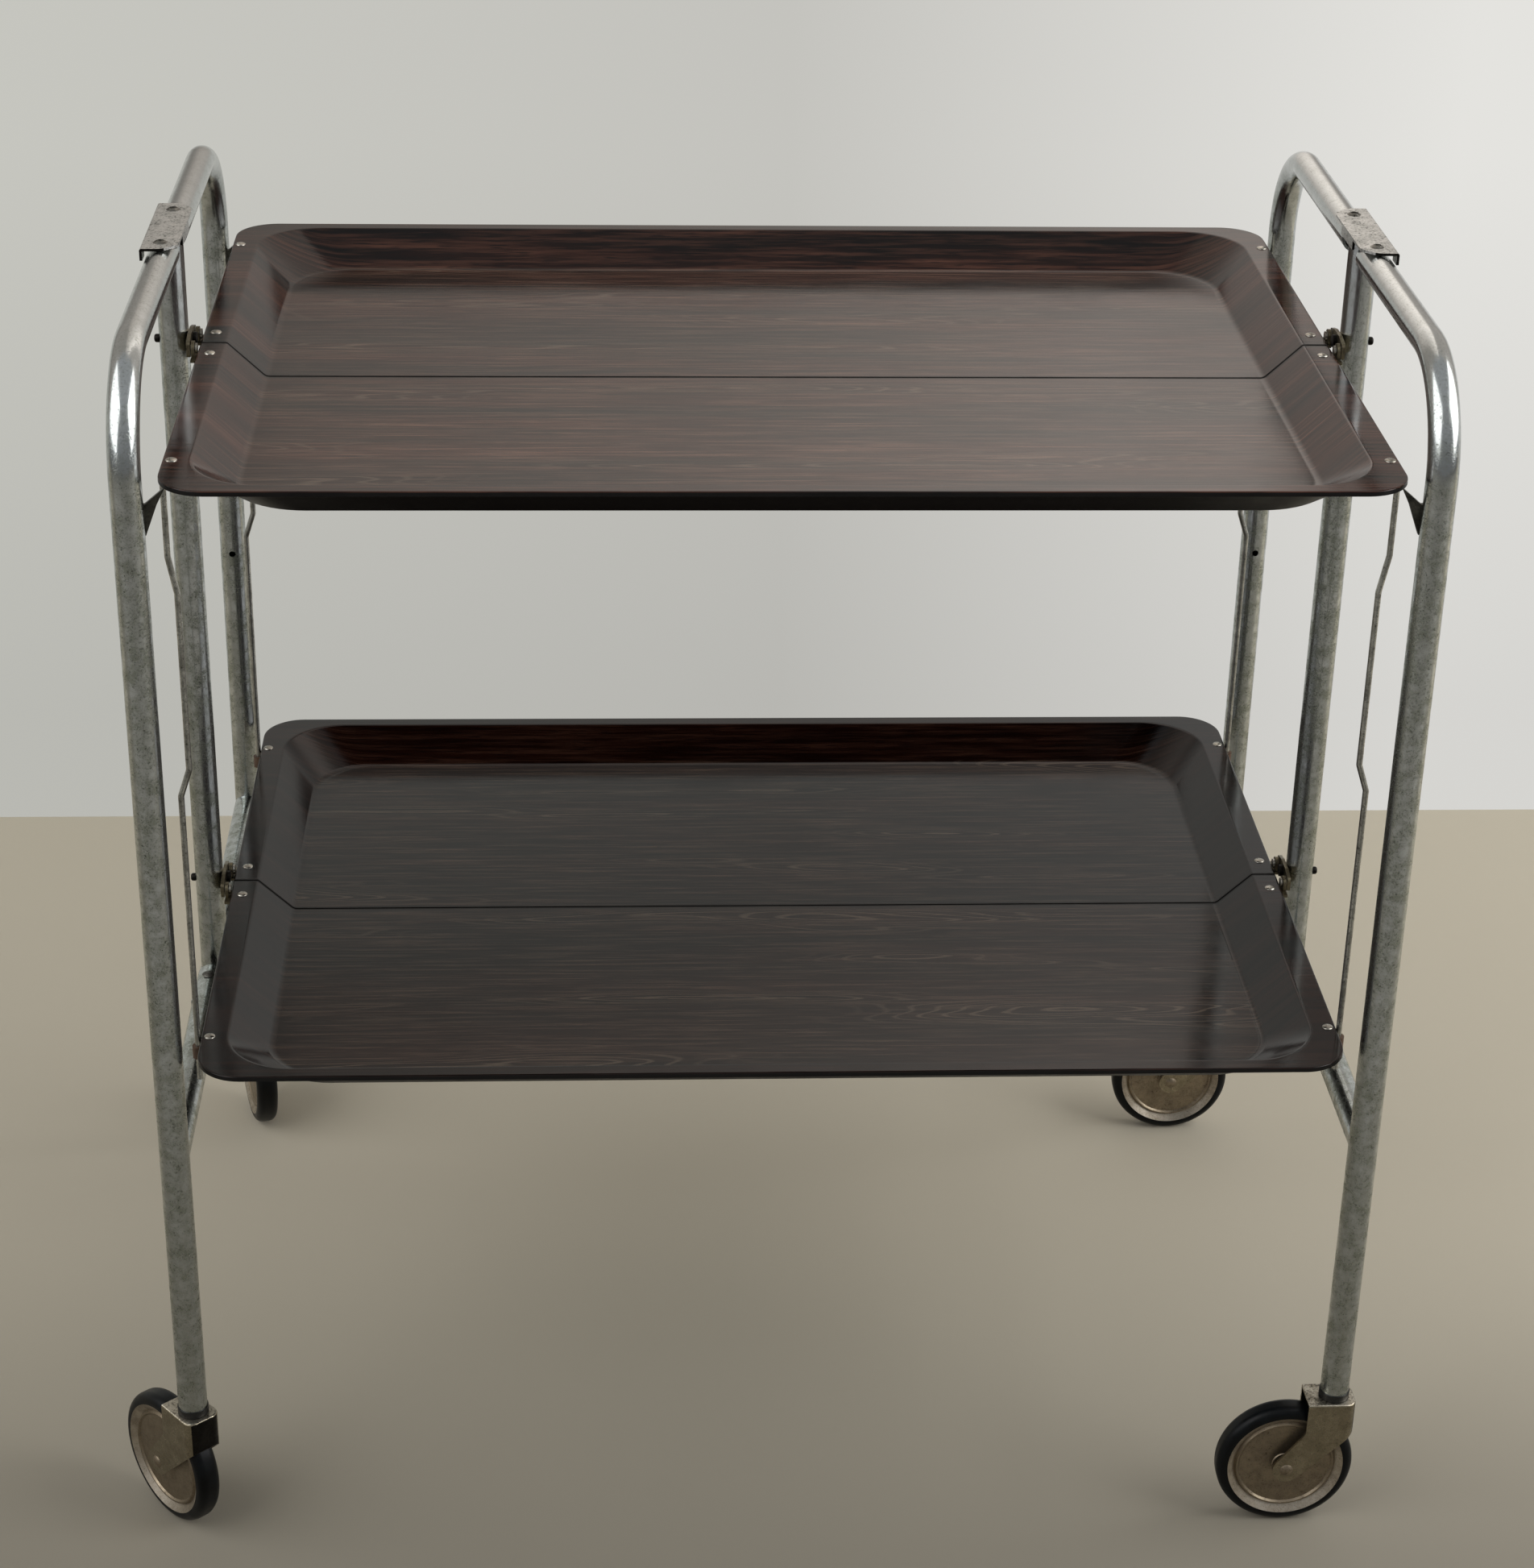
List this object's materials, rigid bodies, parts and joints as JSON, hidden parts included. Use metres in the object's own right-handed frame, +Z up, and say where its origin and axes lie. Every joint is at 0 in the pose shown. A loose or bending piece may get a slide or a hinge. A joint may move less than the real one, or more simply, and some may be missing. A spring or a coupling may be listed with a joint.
{
  "type": "folding tea trolley",
  "caption": "Folding tea trolley on casters: a tubular frame with gate legs and raised end handles carries dark wood-grain trays, split lengthwise so that their leaves fold up.",
  "frame": {"origin": "on the floor, below the middle of the trays", "axes": "+X along the trolley from the left handle to the right one, +Y from front to back, +Z up"},
  "size_m": [0.6984, 0.4917, 0.6998],
  "materials": {
    "tube_chrome": "aged bright chrome plate, lightly pitted",
    "plate_metal": "plated steel sheet, pitted",
    "small_fixings": "plated steel rivets, bolts and pins",
    "tray_laminate": "dark brown wood-grain laminate, satin gloss",
    "rod_steel": "dull steel wire",
    "clip_fibre": "brown fibre",
    "socket_black": "black plastic",
    "caster_metal": "dull warm plated steel",
    "tyre_rubber": "black rubber"
  },
  "bodies": {
    "posts": {"post_left": "tube_chrome", "post_right": "tube_chrome", "handle_plate_left": "plate_metal", "handle_plate_right": "plate_metal", "foot_plate_left": "plate_metal", "foot_plate_right": "plate_metal", "handle_pivot_rivets": "small_fixings", "foot_pivot_rivets": "small_fixings", "hinge_brackets": "plate_metal", "bracket_bolts": "small_fixings", "hinge_pins": "small_fixings"},
    "upper_front_leaf": {"upper_front_leaf": "tray_laminate", "upper_front_lugs": "plate_metal", "upper_front_rivets": "small_fixings"},
    "lower_front_leaf": {"lower_front_leaf": "tray_laminate", "lower_front_lugs": "plate_metal", "lower_front_rivets": "small_fixings"},
    "front_rods": {"front_tie_rods": "rod_steel", "front_rod_clips": "clip_fibre"},
    "gate_front_left": {"gate_tube_front_left": "tube_chrome", "stretcher_front_left": "tube_chrome", "catch_front_left": "plate_metal", "caster_socket_front_left": "socket_black"},
    "fork_front_left": {"caster_fork_front_left": "caster_metal", "caster_axle_front_left": "caster_metal"},
    "wheel_front_left": {"wheel_disc_front_left": "caster_metal", "wheel_tyre_front_left": "tyre_rubber"},
    "gate_front_right": {"gate_tube_front_right": "tube_chrome", "stretcher_front_right": "tube_chrome", "catch_front_right": "plate_metal", "caster_socket_front_right": "socket_black"},
    "fork_front_right": {"caster_fork_front_right": "caster_metal", "caster_axle_front_right": "caster_metal"},
    "wheel_front_right": {"wheel_disc_front_right": "caster_metal", "wheel_tyre_front_right": "tyre_rubber"},
    "upper_back_leaf": {"upper_back_leaf": "tray_laminate", "upper_back_lugs": "plate_metal", "upper_back_rivets": "small_fixings"},
    "lower_back_leaf": {"lower_back_leaf": "tray_laminate", "lower_back_lugs": "plate_metal", "lower_back_rivets": "small_fixings"},
    "back_rods": {"back_tie_rods": "rod_steel", "back_rod_clips": "clip_fibre"},
    "gate_back_left": {"gate_tube_back_left": "tube_chrome", "stretcher_back_left": "tube_chrome", "catch_back_left": "plate_metal", "caster_socket_back_left": "socket_black"},
    "fork_back_left": {"caster_fork_back_left": "caster_metal", "caster_axle_back_left": "caster_metal"},
    "wheel_back_left": {"wheel_disc_back_left": "caster_metal", "wheel_tyre_back_left": "tyre_rubber"},
    "gate_back_right": {"gate_tube_back_right": "tube_chrome", "stretcher_back_right": "tube_chrome", "catch_back_right": "plate_metal", "caster_socket_back_right": "socket_black"},
    "fork_back_right": {"caster_fork_back_right": "caster_metal", "caster_axle_back_right": "caster_metal"},
    "wheel_back_right": {"wheel_disc_back_right": "caster_metal", "wheel_tyre_back_right": "tyre_rubber"}
  },
  "joints": [
    {"name": "upper_front_leaf_fold", "type": "hinge", "parent": "posts", "child": "upper_front_leaf", "pos_m": [0, -0.012, 0.635], "axis": [-1, 0, 0], "range_deg": [0, 90]},
    {"name": "lower_front_leaf_fold", "type": "hinge", "parent": "posts", "child": "lower_front_leaf", "pos_m": [0, -0.012, 0.307], "axis": [-1, 0, 0], "range_deg": [0, 90]},
    {"name": "front_rods_swing", "type": "hinge", "parent": "upper_front_leaf", "child": "front_rods", "pos_m": [0, -0.176, 0.625], "axis": [-1, 0, 0], "range_deg": [-90, 0]},
    {"name": "gate_front_left_swing", "type": "hinge", "parent": "posts", "child": "gate_front_left", "pos_m": [-0.32, -0.0295, 0.689], "axis": [0, 0, 1], "range_deg": [0, 3.6]},
    {"name": "caster_front_left_swivel", "type": "hinge", "parent": "gate_front_left", "child": "fork_front_left", "pos_m": [-0.32, -0.208, 0.084], "axis": [0, 0, 1], "continuous": true},
    {"name": "wheel_front_left_spin", "type": "hinge", "parent": "fork_front_left", "child": "wheel_front_left", "pos_m": [-0.33607, -0.18885, 0.039], "axis": [0.766, 0.6428, 0], "continuous": true},
    {"name": "gate_front_right_swing", "type": "hinge", "parent": "posts", "child": "gate_front_right", "pos_m": [0.32, -0.0295, 0.689], "axis": [0, 0, -1], "range_deg": [0, 3.6]},
    {"name": "caster_front_right_swivel", "type": "hinge", "parent": "gate_front_right", "child": "fork_front_right", "pos_m": [0.32, -0.208, 0.084], "axis": [0, 0, 1], "continuous": true},
    {"name": "wheel_front_right_spin", "type": "hinge", "parent": "fork_front_right", "child": "wheel_front_right", "pos_m": [0.295, -0.208, 0.039], "axis": [0, 1, 0], "continuous": true},
    {"name": "upper_back_leaf_fold", "type": "hinge", "parent": "posts", "child": "upper_back_leaf", "pos_m": [0, 0.012, 0.635], "axis": [1, 0, 0], "range_deg": [0, 90]},
    {"name": "lower_back_leaf_fold", "type": "hinge", "parent": "posts", "child": "lower_back_leaf", "pos_m": [0, 0.012, 0.307], "axis": [1, 0, 0], "range_deg": [0, 90]},
    {"name": "back_rods_swing", "type": "hinge", "parent": "upper_back_leaf", "child": "back_rods", "pos_m": [0, 0.176, 0.625], "axis": [1, 0, 0], "range_deg": [-90, 0]},
    {"name": "gate_back_left_swing", "type": "hinge", "parent": "posts", "child": "gate_back_left", "pos_m": [-0.32, 0.0295, 0.689], "axis": [0, 0, -1], "range_deg": [0, 3.6]},
    {"name": "caster_back_left_swivel", "type": "hinge", "parent": "gate_back_left", "child": "fork_back_left", "pos_m": [-0.32, 0.208, 0.084], "axis": [0, 0, 1], "continuous": true},
    {"name": "wheel_back_left_spin", "type": "hinge", "parent": "fork_back_left", "child": "wheel_back_left", "pos_m": [-0.32647, 0.23215, 0.039], "axis": [0.9659, 0.2588, 0], "continuous": true},
    {"name": "gate_back_right_swing", "type": "hinge", "parent": "posts", "child": "gate_back_right", "pos_m": [0.32, 0.0295, 0.689], "axis": [0, 0, 1], "range_deg": [0, 3.6]},
    {"name": "caster_back_right_swivel", "type": "hinge", "parent": "gate_back_right", "child": "fork_back_right", "pos_m": [0.32, 0.208, 0.084], "axis": [0, 0, 1], "continuous": true},
    {"name": "wheel_back_right_spin", "type": "hinge", "parent": "fork_back_right", "child": "wheel_back_right", "pos_m": [0.295, 0.208, 0.039], "axis": [0, 1, 0], "continuous": true}
  ],
  "couplings": [
    {"joint": "lower_front_leaf_fold", "follows": "upper_front_leaf_fold", "ratio": 1},
    {"joint": "front_rods_swing", "follows": "upper_front_leaf_fold", "ratio": -1},
    {"joint": "gate_front_left_swing", "follows": "upper_front_leaf_fold", "ratio": 0.04},
    {"joint": "gate_front_right_swing", "follows": "upper_front_leaf_fold", "ratio": 0.04},
    {"joint": "lower_back_leaf_fold", "follows": "upper_back_leaf_fold", "ratio": 1},
    {"joint": "back_rods_swing", "follows": "upper_back_leaf_fold", "ratio": -1},
    {"joint": "gate_back_left_swing", "follows": "upper_back_leaf_fold", "ratio": 0.04},
    {"joint": "gate_back_right_swing", "follows": "upper_back_leaf_fold", "ratio": 0.04}
  ]
}
